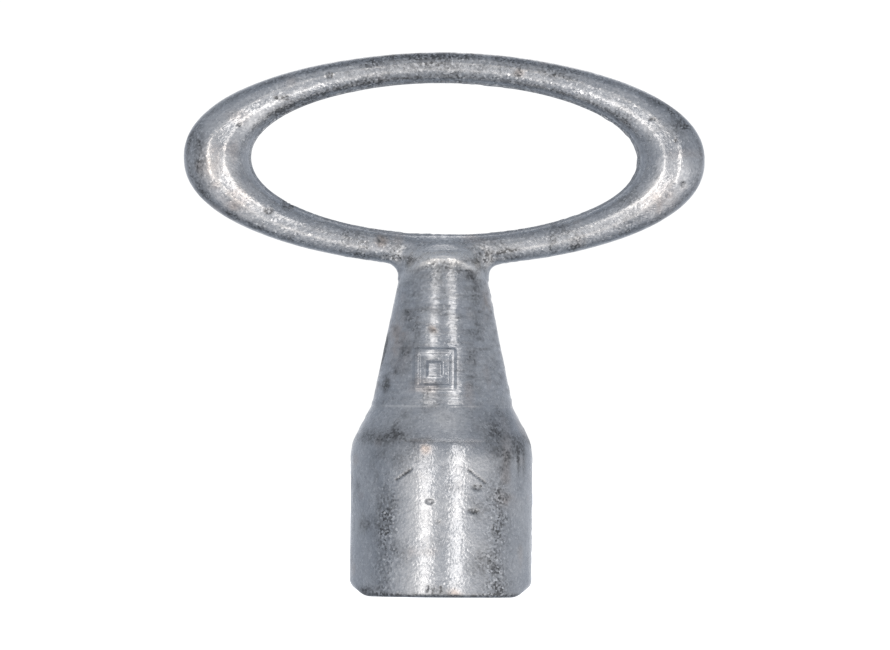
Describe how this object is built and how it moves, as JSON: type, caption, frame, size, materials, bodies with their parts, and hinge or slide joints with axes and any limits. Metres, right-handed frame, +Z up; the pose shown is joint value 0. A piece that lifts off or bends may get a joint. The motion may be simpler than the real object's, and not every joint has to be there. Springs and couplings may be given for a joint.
{
  "type": "radiator bleed key",
  "caption": "Cast zinc alloy radiator bleed key: an oval finger bow on a tapered shank, with a round barrel below that holds a square drive socket.",
  "frame": {"origin": "centre of the square socket's mouth, on the flat bottom face of the barrel", "axes": "+Z up along the shank to the bow, X across the bow, Y through its thickness with the marked front at -Y"},
  "size_m": [0.0402, 0.014, 0.042],
  "materials": {
    "zinc_casting": "satin"
  },
  "bodies": {
    "root": {"bow": "zinc_casting", "shank": "zinc_casting", "socket_barrel": "zinc_casting"}
  },
  "joints": []
}
